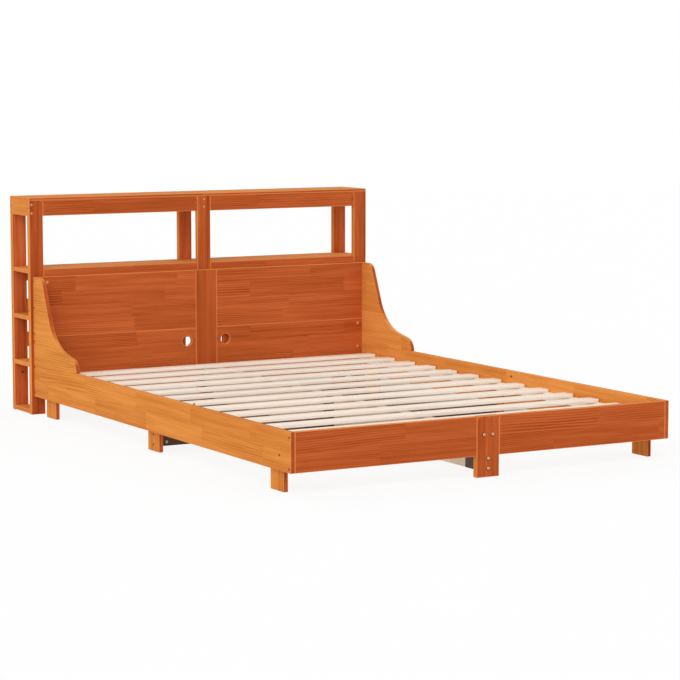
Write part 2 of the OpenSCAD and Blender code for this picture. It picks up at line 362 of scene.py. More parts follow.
@dataclass(frozen=True)
class Pine:
    """A finish on pine.

    Attributes:
        early: Colour of the soft early wood.
        late: Colour of the hard late wood's lines.
        knot: Colour of a knot, and the colour that the painted shade under the slats darkens
            towards.
        side_early: Colour of the early wood on the faces that look to the foot and to the wall,
            with
            painted light and shade: darker on stained wood, lighter on bare wood.
        side_late: Colour of the late wood there, painted in the same way.
        worn: Colour of the bevelled edges, where the stain is sanded thin.
        wear: How strongly the edges show it.
        stave_tone: How far one glued stave differs from the next.
        ring_tone: How strongly the year rings show.
        streak: How strongly the stain's streaks show.
        knot_share: The share of places that have a knot.
        roughness: Roughness of the surface.
        shine: Level of the surface's reflections.
        gloom: How dark the wood is in the shade under the slats.
        lit: Where it is out of that shade: nearer the foot than the first and lower than the
            second, in metres.
        relief: Depth of the grain's relief, in metres.
        bevel: How far from an edge the sanding starts and is full, in metres.
    """

    early: Colour
    late: Colour
    knot: Colour
    side_early: Colour
    side_late: Colour
    worn: Colour
    wear: float
    stave_tone: float
    ring_tone: float
    streak: float
    knot_share: float
    roughness: float
    shine: float
    gloom: float = 0.0
    lit: tuple[float, float] = (0.0, 0.0)
    relief: float = 0.25 * MM
    bevel: tuple[float, float] = (3.0 * MM, 1.2 * MM)

    def material(self, name: str, grain: Grain, box: Box, seed: float, stave_width: float = 0.06,
                 stave_length: float = 0.43, holes: Sequence[Hole] = ()) -> bpy.types.Material:
        """Make one board's material.

        Args:
            name: The material's name.
            grain: Which way the grain runs.
            box: The board's lowest and highest corners, in metres.
            seed: A number that makes this board differ from the others.
            stave_width: About the width of a glued stave, in metres.
            stave_length: Length of a glued stave, in metres.
            holes: The holes whose rims are sanded.

        Returns:
            The material.
        """
        graph = Graph(bpy.data.materials.new(name))
        point = graph.add("ShaderNodeTexCoord", output="Object")
        parts = graph.split(point)
        axes = grain.value
        width = box[1][axes[1]] - box[0][axes[1]]
        stave_width = width / max(1, round(width / stave_width))
        along = parts[axes[0]] + seed * 3.7
        across = parts[axes[1]] - box[0][axes[1]]
        depth = parts[axes[2]] - box[0][axes[2]]
        stave, place = self._stave(graph, along, across, stave_width, stave_length, seed)
        knot, swell = self._knots(graph, along, across, seed)
        rings = self._rings(graph, along, place * stave_width, depth, stave, swell)
        spot = graph.join(along, across + stave[2] * 3.0, depth)
        streak = graph.noise(spot * STREAKS, detail=3.0, roughness=0.62)
        cloud, fibre = graph.noise(spot * CLOUDS), graph.noise(spot * FIBRES)
        contrast = 0.35 + stave[1] * 1.3
        lines = (rings - 0.4) * contrast * (cloud * 2.6 - 0.3).high(0.15)
        tone = 0.42 + lines * self.ring_tone + (stave[0] - 0.5) * self.stave_tone
        tone = tone + (streak - 0.5) * self.streak + (cloud - 0.5) * self.streak * 0.5
        tone = tone + (fibre - 0.5) * 0.2
        normal = graph.split(graph.add("ShaderNodeNewGeometry", output="Normal"))
        # Painted light and shade: faces to the foot and the wall take their own colours, darker
        # on stained wood and lighter on bare wood.
        side = abs(normal[1]).step(0.45, 0.9)
        early = graph.mix(side, self.early, self.side_early)
        late = graph.mix(side, self.late, self.side_late)
        colour = graph.mix(tone.high(0.0).low(1.0), early, late)
        end = abs(normal[axes[0]]).step(0.6, 0.9)
        colour = graph.mix(end * 0.25, colour, late)
        colour = graph.mix(knot * 0.9, colour, self.knot)
        edge = self._edge(graph, point, parts, normal, box, streak, holes)
        colour = graph.mix(edge * self.wear, colour, self.worn)
        # Painted shade: where gloom is set, the wood darkens towards the knot colour under the
        # slats, but not low down near the foot.
        if self.gloom:
            start, level = self.lit
            shaded = parts[1].step(start - 0.06, start).high(parts[2].step(level, level + 0.02))
            colour = graph.mix(shaded * self.gloom, colour, self.knot)
        height = rings * 0.5 + fibre * 0.5 - knot * 0.4
        return graph.surface({
            "Base Color": colour,
            "Roughness": self.roughness + (streak - 0.5) * 0.22 + edge * 0.08,
            "Normal": graph.bump(height, self.relief, 0.5),
            "Specular IOR Level": self.shine,
        })

    def _stave(self, graph: Graph, along: Wire, across: Wire, width: float, length: float,
               seed: float) -> tuple[list[Wire], Wire]:
        """Divide a board into glued staves with finger joints at their ends.

        Args:
            graph: The material's graph.
            along: Distance along the grain.
            across: Distance across the grain.
            width: Width of a stave.
            length: Length of a stave.
            seed: The board's number.

        Returns:
            Three random numbers, the same all over one stave, and the place across it, 0 to 1.
        """
        lane = across / width
        row = lane.floor()
        shift = graph.random(row, seed, 0.5)
        finger_width, finger_slope = 3.5 * MM, 2.2
        fingers = across.zigzag(finger_width) * finger_slope
        column = ((along + fingers) / length + shift[0] * 7.0).floor()
        return graph.random(row, column, seed), lane - row

    def _knots(self, graph: Graph, along: Wire, across: Wire, seed: float) -> tuple[Wire, Wire]:
        """Scatter a few knots.

        Args:
            graph: The material's graph.
            along: Distance along the grain.
            across: Distance across the grain.
            seed: The board's number.

        Returns:
            The knots' mask, and how far they push the rings aside, in metres.
        """
        scale, reach, push = 4.2, 45.0 * MM, 11.0 * MM
        place = graph.join(along * scale, across * scale * 1.15 + seed, 0.0)
        cell = graph.node("ShaderNodeTexVoronoi", {"voronoi_dimensions": "2D"},
                          {"Vector": place, "Scale": 1.0})
        distance = Wire(graph, cell.outputs["Distance"]) / scale
        chance = graph.split(Wire(graph, cell.outputs["Color"]))
        has_knot = chance[0].above(1.0 - self.knot_share)
        radius = 0.0022 + chance[1] * 0.0045
        mask = (distance / radius).step(1.15, 0.75) * has_knot
        swell = distance.step(reach, 0.0) * has_knot * push
        return mask, swell

    def _rings(self, graph: Graph, along: Wire, sideways: Wire, depth: Wire, stave: list[Wire],
               swell: Wire) -> Wire:
        """Cut the year rings of a trunk whose pith lies beside the stave.

        Args:
            graph: The material's graph.
            along: Distance along the grain.
            sideways: Distance from the stave's edge.
            depth: Distance through the board.
            stave: The stave's random numbers.
            swell: How far knots push the rings aside.

        Returns:
            The rings, from 0 in early wood to 1 in late wood.
        """
        spot = graph.join(along + stave[1] * 9.0, sideways, depth)
        bend, run = (graph.noise(spot * waves, detail=1.0) for waves in (BENDS, RUNS))
        aside = sideways + 0.012 + stave[1] * 0.07
        inwards = depth + 0.01 + stave[2] * 0.05
        radius = (aside * aside + inwards * inwards).root()
        radius = radius + (bend - 0.5) * 0.03 + (run - 0.5) * 0.004 + swell
        ring_width = 0.0036 + stave[2] * 0.0044
        phase = radius / ring_width
        phase = phase - phase.floor()
        return phase.step(0.2, 0.85) * phase.step(1.0, 0.88)

    def _edge(self, graph: Graph, point: Wire, parts: list[Wire], normal: list[Wire], box: Box,
              streak: Wire, holes: Sequence[Hole]) -> Wire:
        """Find the sanded edges of a board.

        Args:
            graph: The material's graph.
            point: The point.
            parts: The point's three parts.
            normal: The normal's three parts.
            box: The board's lowest and highest corners.
            streak: Noise that makes the sanding uneven.
            holes: The holes whose rims are sanded.

        Returns:
            The mask, 1 on the edges.
        """
        middle = (box[0] + box[1]) / 2
        half = (box[1] - box[0]) / 2
        x, y, z = graph.split(tuple(half) - abs(point - tuple(middle)))
        from_edge = x.low(y).high(x.high(y).low(z))
        for hole in holes:
            across, up = parts[0] - hole.x, parts[2] - hole.z
            from_edge = from_edge.low(abs((across * across + up * up).root() - hole.radius))
        worn = (from_edge + (streak - 0.5) * 0.0008).step(*self.bevel)
        tilt = abs(normal[0])
        squareness = tilt.high((1.0 - tilt * tilt).high(0.0).root())
        return worn.high(squareness.step(0.985, 0.93))


STAINED = Pine(
    early=rgb(226, 147, 70), late=rgb(190, 108, 38), knot=rgb(104, 48, 20),
    side_early=rgb(196, 98, 49), side_late=rgb(154, 64, 20),
    worn=rgb(230, 142, 86), wear=0.66, stave_tone=0.36, ring_tone=0.4, streak=1.5,
    knot_share=0.14, roughness=0.68, shine=0.05)

# Painted light: the panels' faces to the foot and the wall are lighter than the stain's.
PANEL = replace(STAINED, side_early=rgb(206, 106, 55), side_late=rgb(161, 70, 25))
POST = replace(STAINED, streak=2.8)
# Painted shade on the first post's faces to the foot and the wall, and painted light on the rear
# posts'.
FIRST_POST = replace(POST, side_early=rgb(183, 85, 39), side_late=rgb(140, 54, 15))
REAR_POST = replace(POST, side_early=rgb(216, 112, 62), side_late=rgb(172, 77, 29))
# Painted light: a lighter copy of the stain for boards that lie in shade.
PAINTED_LIGHT_STAINED = replace(STAINED, early=rgb(238, 158, 80), late=rgb(202, 118, 46))

BARE = Pine(
    early=rgb(252, 240, 226), late=rgb(236, 217, 195), knot=rgb(160, 112, 74),
    side_early=rgb(254, 245, 232), side_late=rgb(240, 223, 202),
    worn=rgb(252, 242, 228), wear=0.5, stave_tone=0.12, ring_tone=0.3, streak=0.3,
    knot_share=0.2, roughness=0.62, shine=0.12)
# Painted shade: the middle beam is darker where it lies under the slats.
BEAM = replace(BARE, gloom=0.56, lit=(-0.75, 0.066))


@dataclass(frozen=True)
class Metal:
    """A metal finish.

    Attributes:
        colour: Main colour.
        worn: Colour in the rubbed spots.
        rim: Painted shade where the surface turns away from the bed's length, most on its lower
            side, as round a bolt's head.
        roughness: Roughness.
        metallic: 1 for bare metal, 0 for a coat of paint.
        grain: Size of the surface's orange peel or brushing, in waves a metre.
        depth: Depth of that, in metres.
        shine: Level of the coat's reflections.
    """

    colour: Colour
    worn: Colour
    rim: Colour
    roughness: float
    metallic: float = 1.0
    grain: float = 2600.0
    depth: float = 0.00003
    shine: float = 0.5

    def material(self, name: str) -> bpy.types.Material:
        """Make the material.

        Args:
            name: The material's name.

        Returns:
            The material.
        """
        graph = Graph(bpy.data.materials.new(name))
        point = graph.add("ShaderNodeTexCoord", output="Object")
        fine = graph.noise(point, self.grain, 3.0)
        cloud = graph.noise(point, 35.0, 3.0, 0.6)
        rubbed = (cloud + (fine - 0.5) * 0.2).step(0.60, 0.74)
        normal = graph.split(graph.add("ShaderNodeNewGeometry", output="Normal"))
        # Painted shade on the rim of a domed head, deeper on its lower side.
        rim_shade = (abs(normal[1]) + normal[2] * 0.14).step(0.985, 0.86)
        colour = graph.mix(rubbed * 0.6, self.colour, self.worn)
        return graph.surface({
            "Base Color": graph.mix(rim_shade, colour, self.rim),
            "Metallic": self.metallic,
            "Roughness": self.roughness + (fine - 0.5) * 0.25 - rubbed * 0.06,
            "Normal": graph.bump(fine, self.depth, 0.6),
            "Specular IOR Level": self.shine,
        })


POWDER_COAT = Metal(rgb(94, 67, 50), rgb(116, 90, 72), rgb(94, 67, 50), 0.5, 0.0, 1400.0,
                    0.00008, 0.12)
# Painted reflection: the warm colours of NICKEL and PALE_SCREW carry the stained wood round them;
# the darker rim colours of NICKEL, ZINC, PALE_SCREW and STAINED_CAP are painted shade.
NICKEL = Metal(rgb(238, 182, 142), rgb(214, 158, 118), rgb(106, 58, 28), 0.34)
ZINC = Metal(rgb(178, 166, 156), rgb(150, 138, 128), rgb(74, 62, 52), 0.4)
DARK_SCREW = Metal(rgb(112, 60, 28), rgb(92, 48, 22), rgb(112, 60, 28), 0.5, 0.0, shine=0.1)
ZINC_SCREW = Metal(rgb(196, 192, 184), rgb(150, 144, 134), rgb(196, 192, 184), 0.38)
PALE_SCREW = Metal(rgb(226, 172, 146), rgb(210, 148, 120), rgb(200, 138, 110), 0.4)
STAINED_CAP = Metal(rgb(236, 148, 94), rgb(222, 130, 76), rgb(206, 112, 62), 0.45, 0.0, 900.0,
                    0.00004)


class Bench:
    """Modelling steps that more than one sub-assembly uses."""

    @staticmethod
    def clear() -> None:
        """Leave edit mode and deselect everything."""
        if bpy.context.object and bpy.context.object.mode != "OBJECT":
            bpy.ops.object.mode_set(mode="OBJECT")
        bpy.ops.object.select_all(action="DESELECT")

    @classmethod
    def focus(cls, piece: Piece) -> None:
        """Select one piece alone and make it active."""
        cls.clear()
        piece.select_set(True)
        bpy.context.view_layer.objects.active = piece

    @classmethod
    def apply(cls, piece: Piece, kind: str, **settings: Any) -> None:
        """Add a modifier to a piece and apply it.

        Args:
            piece: The piece.
            kind: The modifier's type.
            settings: The modifier's settings.
        """
        cls.focus(piece)
        modifier = piece.modifiers.new(kind.title(), kind)
        for name, value in settings.items():
            setattr(modifier, name, value)
        bpy.ops.object.modifier_apply(modifier=modifier.name)

    @classmethod
    def round_edges(cls, piece: Piece, width: float, segments: int = 2,
                    angle: float = 40.0) -> None:
        """Round a piece's sharp edges and smooth what is left.

        Args:
            piece: The piece.
            width: Width of the rounding, in metres.
            segments: Its number of facets.
            angle: The smallest angle between faces that is rounded, in degrees.
        """
        cls.apply(piece, "BEVEL", width=width, segments=segments, limit_method="ANGLE",
                  angle_limit=math.radians(angle))
        bpy.ops.object.shade_smooth_by_angle(angle=math.radians(35))

    @classmethod
    def solid(cls, primitive: Callable[..., Any], **settings: Any) -> Piece:
        """Add a solid that has its place and size in its mesh.

        Args:
            primitive: The operator that adds it.
            settings: The operator's settings.

        Returns:
            The solid.
        """
        cls.clear()
        primitive(**settings)
        bpy.ops.object.transform_apply(location=True, rotation=True, scale=True)
        return bpy.context.object

    @classmethod
    def carve(cls, piece: Piece, cutter: Piece) -> None:
        """Cut a solid out of a piece and remove it."""
        cls.apply(piece, "BOOLEAN", operation="DIFFERENCE", object=cutter, solver="EXACT")
        bpy.data.objects.remove(cutter)

    @staticmethod
    def new(name: str, data: bpy.types.ID) -> Piece:
        """Put a new object into the scene."""
        piece = bpy.data.objects.new(name, data)
        bpy.context.scene.collection.objects.link(piece)
        return piece

    @classmethod
    def copy_node(cls, node: str) -> list[Piece]:
        """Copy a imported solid, clean its loose triangles and part it into its separate boards.

        Args:
            node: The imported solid's name.

        Returns:
            The boards, in order of their lowest corners.
        """
        source = bpy.data.objects[node]
        before = set(bpy.data.objects)
        piece = cls.new(f"{node}_board", source.data.copy())
        cls.focus(piece)
        bpy.ops.object.mode_set(mode="EDIT")
        bpy.ops.mesh.select_all(action="SELECT")
        bpy.ops.mesh.remove_doubles(threshold=0.00001)
        bpy.ops.mesh.dissolve_limited(angle_limit=math.radians(0.5))
        bpy.ops.mesh.separate(type="LOOSE")
        bpy.ops.object.mode_set(mode="OBJECT")
        cls.clear()
        made = [thing for thing in bpy.data.objects if thing not in before]
        return sorted(made, key=lambda board: tuple(cls.box(board)[0]))

    @staticmethod
    def box(piece: Piece) -> Box:
        """Give the lowest and highest corners of a piece whose place is in its mesh."""
        rows = list(zip(*(vertex.co for vertex in piece.data.vertices)))
        return Vector([min(row) for row in rows]), Vector([max(row) for row in rows])

    @staticmethod
    def paint(piece: Piece, material: bpy.types.Material) -> None:
        """Give a piece one material, whatever slots it had."""
        if not piece.material_slots:
            piece.data.materials.append(material)
        for slot in piece.material_slots:
            slot.material = material

    @staticmethod
    def mount(piece: Piece, slot: str) -> None:
        """Let a new piece move with the bed."""
        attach(piece, BODY)


@dataclass
class Joiner:
    """Dresses boards, each with a grain pattern of its own.

    Attributes:
        count: The number of boards dressed so far.
        seed_step: How far one board's pattern lies from the next one's.
    """

    count: int = 0
    seed_step: float = 1.37

    def dress(self, piece: Piece, grain: Grain, finish: Pine = STAINED,
              **more: Any) -> None:
        """Give one board its finish.

        Args:
            piece: The board.
            grain: Which way its grain runs.
            finish: Its finish.
            more: Further values for the finish.
        """
        self.count += 1
        seed = self.count * self.seed_step
        box = Bench.box(piece)
        Bench.paint(piece, finish.material(f"{piece.name}_finish", grain, box, seed, **more))
        log.info("board %s", piece.name)

    def nodes(self, names: Sequence[str], grain: Grain, finish: Pine = STAINED,
              **more: Any) -> None:
        """Dress packed boards as they are.

        Args:
            names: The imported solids' names.
            grain: Which way their grain runs.
            finish: Their finish.
            more: Further values for the finish.
        """
        for name in names:
            self.dress(bpy.data.objects[name], grain, finish, **more)

    def remake(self, node: str, grain: Grain, rounding: float, finish: Pine = STAINED,
               slot: str = "stained_pine", **more: Any) -> list[Piece]:
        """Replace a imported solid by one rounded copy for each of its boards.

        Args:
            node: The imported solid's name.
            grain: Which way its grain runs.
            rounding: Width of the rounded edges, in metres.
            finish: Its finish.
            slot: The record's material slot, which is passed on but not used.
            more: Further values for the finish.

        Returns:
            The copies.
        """
        boards = Bench.copy_node(node)
        for number, board in enumerate(boards, 1):
            board.name = f"{node}_board" if len(boards) == 1 else f"{node}_board_{number}"
            board.data.name = board.name
            Bench.round_edges(board, rounding)
            self.dress(board, grain, finish, **more)
            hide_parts(node)
            Bench.mount(board, slot)
        return boards


@dataclass
class BedSides:
    """Side rails with their raised heads, the footboard and the legs.

    Attributes:
        rounding: Width of a rail's rounded edges, in metres.
        stave: Width of a rail's staves, in metres.
    """

    rounding: float = 1.8 * MM
    stave: float = 65.0 * MM

    def build(self, joiner: Joiner) -> None:
        """Make and dress the pieces.

        Args:
            joiner: Who dresses them.
        """
        for side in ("left", "right"):
            # Painted light: the right rail, whose inner face lies in shade, takes the lighter
            # copy of the stain.
            finish = STAINED if side == "left" else PAINTED_LIGHT_STAINED
            joiner.remake(f"rail_{side}", Grain.Y, self.rounding, finish, stave_width=self.stave)
            joiner.nodes([f"footboard_{side}"], Grain.X)
            legs = [f"leg_{place}_{side}" for place in ("foot", "middle", "head")]
            joiner.nodes(legs, Grain.Y_SIDE, POST, **ONE_STAVE)
        joiner.nodes(["footboard_leg"], Grain.Z, POST, **ONE_STAVE)


@dataclass
class SlatDeck:
    """Slats, the two ledges under their ends and the middle beam.

    Attributes:
        rounding: Width of a slat's rounded edges, in metres.
        slat_length: Long enough that it has no joint, in metres.
    """

    rounding: float = 1.6 * MM
    slat_length: float = 9.0

    def build(self, joiner: Joiner) -> None:
        """Make and dress the pieces.

        Args:
            joiner: Who dresses them.
        """
        for number in range(1, SLAT_COUNT + 1):
            joiner.remake(f"slat_{number:02d}", Grain.X_FLAT, self.rounding, BARE, "raw_pine",
                          stave_width=WIDE, stave_length=self.slat_length)
        joiner.nodes(["ledge_left", "ledge_right"], Grain.Y, BARE)
        joiner.nodes(["middle_beam"], Grain.Y, BEAM)


@dataclass
class Headboard:
    """The two-board panels with their cable holes, the stile and the battens behind.

    Attributes:
        rounding: Width of a batten's rounded edges, in metres.
    """

    rounding: float = 1.2 * MM

    def build(self, joiner: Joiner, holes: Sequence[Hole]) -> None:
        """Make and dress the pieces.

        Args:
            joiner: Who dresses them.
            holes: The cable holes.
        """
        for side in ("left", "right"):
            joiner.nodes([f"panel_upper_{side}"], Grain.X, PANEL)
            joiner.nodes([f"panel_lower_{side}"], Grain.X, PANEL, holes=holes)
        joiner.nodes(["panel_stile"], Grain.Z, **ONE_STAVE)
        joiner.remake("panel_battens", Grain.Z, self.rounding, stave_width=WIDE)


@dataclass
class Bookcase:
    """Posts, rails, shelves and top of the bookcase.

    Attributes:
        rounding: Width of a back rail's rounded edges, in metres.
    """

    rounding: float = 1.4 * MM

    def build(self, joiner: Joiner) -> None:
        """Make and dress the pieces.

        Args:
            joiner: Who dresses them.
        """
        for side in ("left", "right"):
            joiner.nodes([f"top_board_{side}"], Grain.X_FLAT)
            rails = [f"top_rail_front_{side}", f"top_rail_rear_{side}", f"shelf_rail_{side}"]
            joiner.nodes(rails, Grain.X)
            joiner.nodes([f"top_rail_side_{side}", f"base_board_{side}"], Grain.Y)
        joiner.remake("back_rails", Grain.X, self.rounding)
        finishes = {"front": (FIRST_POST, POST, POST), "rear": (REAR_POST,) * 3}
        for row, three in finishes.items():
            for column, finish in zip(("left", "middle", "right"), three):
                joiner.nodes([f"post_{row}_{column}"], Grain.Z, finish, **ONE_STAVE)
        shelves = [f"shelf_{level}" for level in ("upper", "middle", "lower")]
        # Painted light: the shelves, in the bookcase's shade, take the lighter copy of the stain.
        joiner.nodes(shelves, Grain.X_FLAT, PAINTED_LIGHT_STAINED)
        joiner.nodes(["top_rail_cross"], Grain.Y)


@dataclass
class SteelFittings:
    """The folded cross bars and the shoes of the middle beam.

    Attributes:
        rounding: Width of the folds' rounding, in metres.
    """

    rounding: float = 0.5 * MM

    def build(self) -> None:
        """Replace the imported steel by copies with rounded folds."""
        coat = POWDER_COAT.material("dark_powder_coat")
        for node in ("cross_bar_left", "cross_bar_right", "beam_shoes"):
            boards = Bench.copy_node(node)
            for number, piece in enumerate(boards, 1):
                piece.name = f"{node}_steel_{number}"
                piece.data.name = piece.name
                Bench.round_edges(piece, self.rounding)
                Bench.paint(piece, coat)
                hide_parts(node)
                Bench.mount(piece, "dark_steel")
                log.info("steel %s", piece.name)


@dataclass
class DomeBolts:
    """Domed bolts with a hexagon socket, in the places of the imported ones.

    Attributes:
        head_radius: Radius of the head, in metres.
        shank_radius: Radius of the shank, in metres.
        rings: The dome's rings: how much smaller and how much higher each is, in metres.
        rim: Height of the head's straight rim, in metres.
        socket_radius: Radius of the socket over its corners, in metres.
        socket_depth: Depth of the socket, in metres.
        head_edge: Rounding of the head's edges, in metres.
        shank_edge: Rounding of the shank's end, in metres.
        spin: How far each bolt is turned past the one before, in radians.
        nickel_to: How far towards the head the bolts are nickel, in metres.
        stained_from: How far towards the head the bolts' heads are stained, in metres.
    """

    head_radius: float = 7.0 * MM
    shank_radius: float = 3.0 * MM
    rings: tuple[tuple[float, float], ...] = (
        (0.35 * MM, 0.55 * MM), (0.8 * MM, 0.62 * MM), (1.2 * MM, 0.55 * MM),
        (1.2 * MM, 0.32 * MM))
    rim: float = 0.9 * MM
    socket_radius: float = 2.35 * MM
    socket_depth: float = 1.7 * MM
    head_edge: float = 0.12 * MM
    shank_edge: float = 0.6 * MM
    spin: float = 0.7
    nickel_to: float = -500.0 * MM
    stained_from: float = 500.0 * MM

    def head(self) -> Piece:
        """Model the head, standing on the plane z = 0.

        Returns:
            The head.
        """
        head = Bench.solid(bpy.ops.mesh.primitive_cylinder_add, vertices=40,
                           radius=self.head_radius, depth=self.rim, location=(0, 0, self.rim / 2))
        bpy.ops.object.mode_set(mode="EDIT")
        bpy.ops.mesh.select_mode(type="FACE")
        bpy.ops.mesh.select_all(action="DESELECT")
        bpy.ops.object.mode_set(mode="OBJECT")
        for face in head.data.polygons:
            face.select = face.normal.z > 0.9
        bpy.ops.object.mode_set(mode="EDIT")
        for narrower, higher in self.rings:
            bpy.ops.mesh.inset(thickness=narrower, depth=higher)
        bpy.ops.object.mode_set(mode="OBJECT")
        Bench.carve(head, Bench.solid(bpy.ops.mesh.primitive_cylinder_add, vertices=6,
                                      radius=self.socket_radius, depth=2 * self.socket_depth,
                                      location=(0, 0, Bench.box(head)[1].z)))
        Bench.round_edges(head, self.head_edge, segments=1, angle=50)
        return head

    def shank(self, length: float) -> Piece:
        """Model the shank, hanging from the plane z = 0.

        Args:
            length: Its length, in metres.

        Returns:
            The shank.
        """
        shank = Bench.solid(bpy.ops.mesh.primitive_cylinder_add, vertices=20,
                            radius=self.shank_radius, depth=length, location=(0, 0, -length / 2))
        Bench.round_edges(shank, self.shank_edge, segments=1, angle=50)
        return shank

    def build(self) -> None:
        """Put a detailed bolt in the place of every packed one."""
        nickel = NICKEL.material("brushed_nickel")
        zinc = ZINC.material("zinc")
        stained = STAINED_CAP.material("stained_cap")
        for number, old in enumerate(Bench.copy_node("dome_bolts"), 1):
            low, high = Bench.box(old)
            middle = (low + high) / 2
            base = max(old.data.vertices,
                       key=lambda v: math.hypot(v.co.x - middle.x, v.co.z - middle.z)).co.y
            faces_foot = base - low.y < high.y - base
            length = max(high.y - base, base - low.y)
            bolt, shank = self.head(), self.shank(length)
            Bench.focus(bolt)
            shank.select_set(True)
            bpy.ops.object.join()
            bolt.name = bolt.data.name = f"dome_bolt_{number:02d}"
            turn = Matrix.Rotation(math.radians(90 if faces_foot else -90), 4, "X")
            spin = Matrix.Rotation(number * self.spin, 4, "Z")
            bolt.data.transform(Matrix.Translation((middle.x, base, middle.z)) @ turn @ spin)
            bpy.data.objects.remove(old)
            finish = stained if middle.y > self.stained_from else zinc
            Bench.paint(bolt, nickel if middle.y < self.nickel_to else finish)
            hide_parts("dome_bolts")
            Bench.mount(bolt, "bolt")
            log.info("bolt %s", bolt.name)


@dataclass
class WoodScrews:
    """Countersunk screws with a cross recess.

    Attributes:
        depth: Depth of the head's cone, in metres.
        taper: How wide the cone's lower end is against the head.
        edge: Rounding of the head's edges, in metres.
        proud: How far the head stands out of the wood, in metres.
        arm: Half the length of the recess, in metres.
        slit: Width of the recess, in metres.
        recess: Depth of the recess, in metres.
        small: Radius of the heads in the slats and the posts' sides, in metres.
        medium: Radius of those at the corner of the bookcase.
        large: Radius of those in the rails and legs.
        plug: Radius of the plug in the panel.
        inset: Distance of the rails' screws from the bookcase and from the foot, in metres.
        corner: Distance of the corner's screws from the post's edge, in metres.
        plug_inset: Distance of the plug from the panel's end and top edge, in metres.
        slat_places: Places of the slats' screws across the bed, in millimetres.
        heights: Heights of each row of screws, in millimetres.
        rng: The seeded source of the screws' turns.
    """

    depth: float = 2.6 * MM
    taper: float = 0.35
    edge: float = 0.1 * MM
    proud: float = 0.15 * MM
    arm: float = 1.9 * MM
    slit: float = 0.8 * MM
    recess: float = 1.0 * MM
    small: float = 3.4 * MM
    medium: float = 4.4 * MM
    large: float = 4.6 * MM
    plug: float = 5.6 * MM
    inset: float = 8.0 * MM
    corner: float = 10.0 * MM
    plug_inset: tuple[float, float] = (36.0 * MM, 21.0 * MM)
    slat_places: tuple[int, ...] = (-696, -9, 9, 696)
    heights: dict[str, tuple[int, ...]] = field(default_factory=lambda: {
        "rail_head": (510, 411, 312, 281, 183, 85), "rail_foot": (182, 83), "leg": (58, 23),
        "side": (786, 399, 270), "corner": (799, 767), "middle": (802, 772)})
    rng: random.Random = field(default_factory=lambda: random.Random(7))

    def model(self, radius: float) -> Piece:
        """Model one screw head that looks up, its wood's surface at z = 0.

        Args:
            radius: Radius of the head, in metres.

        Returns:
            The screw head.
        """
        screw = Bench.solid(bpy.ops.mesh.primitive_cone_add, vertices=28,
                            radius1=radius * self.taper, radius2=radius, depth=self.depth,
                            location=(0, 0, self.proud - self.depth / 2))
        for turn in (0, QUARTER):
            Bench.carve(screw, Bench.solid(bpy.ops.mesh.primitive_cube_add, size=1,
                                           location=(0, 0, self.proud), rotation=(0, 0, turn),
                                           scale=(2 * self.arm, self.slit, 2 * self.recess)))
        Bench.round_edges(screw, self.edge, segments=1)
        return screw

    def place(self, spots: Sequence[Sequence[float]], facing: Euler, finish: bpy.types.Material,
              name: str, radius: float) -> None:
        """Set screws in a row of spots.

        Args:
            spots: The spots on the wood's surface.
            facing: The turn from looking up to looking out of that surface.
            finish: The screws' finish.
            name: The screws' name.
            radius: Radius of their heads, in metres.
        """
        model = self.model(radius)
        for number, spot in enumerate(spots, 1):
            spin = Matrix.Rotation(self.rng.uniform(0, QUARTER), 4, "Z")
            screw = Bench.new(f"{name}_{number:02d}", model.data.copy())
            screw.data.transform(Matrix.Translation(spot) @ facing.to_matrix().to_4x4() @ spin)
            Bench.paint(screw, finish)
            Bench.mount(screw, "bolt")
        bpy.data.objects.remove(model)
        log.info("screws %s: %d", name, len(spots))

    def build(self) -> None:
        """Set the screws of the rails, legs, posts and slats, and the plug in the panel."""
        dark = DARK_SCREW.material("dark_screw")
        zinc = ZINC_SCREW.material("zinc_screw")
        pale = PALE_SCREW.material("pale_screw")
        to_foot = Euler((QUARTER, 0, 0))
        case_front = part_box("post_front_left")[0].y
        case_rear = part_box("post_rear_left")[1].y
        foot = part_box("rail_left")[0].y
        post_half = (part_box("post_front_left")[1].y - case_front) / 2
        for end, side, sign in ((0, "left", -1), (1, "right", 1)):
            facing = Euler((0, sign * QUARTER, 0))
            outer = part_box(f"rail_{side}")[end].x
            spots = [(outer, case_front - self.inset, z * MM) for z in self.heights["rail_head"]]
            spots += [(outer, foot + self.inset, z * MM) for z in self.heights["rail_foot"]]
            self.place(spots, facing, dark, f"rail_screw_{side}", self.large)
            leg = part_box(f"leg_middle_{side}")
            spots = [(leg[end].x, (leg[0].y + leg[1].y) / 2, z * MM) for z in self.heights["leg"]]
            self.place(spots, facing, dark, f"leg_screw_{side}", self.large)
            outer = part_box(f"post_front_{side}")[end].x
            spots = [(outer, y, z * MM) for z in self.heights["side"]
                     for y in (case_front + post_half, case_rear - post_half)]
            self.place(spots, facing, dark, f"side_screw_{side}", self.small)
        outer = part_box("post_front_left")[0].x
        spots = [(outer + self.corner, case_front, z * MM) for z in self.heights["corner"]]
        self.place(spots, to_foot, pale, "post_screw_left", self.medium)
        spots = [(0, case_front, z * MM) for z in self.heights["middle"]]
        self.place(spots, to_foot, pale, "post_screw_middle", self.small)
        low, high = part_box("panel_upper_left")
        spots = [(low.x + self.plug_inset[0], low.y, high.z - self.plug_inset[1])]
        self.place(spots, to_foot, STAINED_CAP.material("panel_cap"), "panel_screw", self.plug)
        spots = []
        for number in range(1, SLAT_COUNT + 1):
            low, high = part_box(f"slat_{number:02d}")
            spots += [(x * MM, (low.y + high.y) / 2, high.z) for x in self.slat_places]
        self.place(spots, Euler((0, 0, 0)), zinc, "slat_screw", self.small)


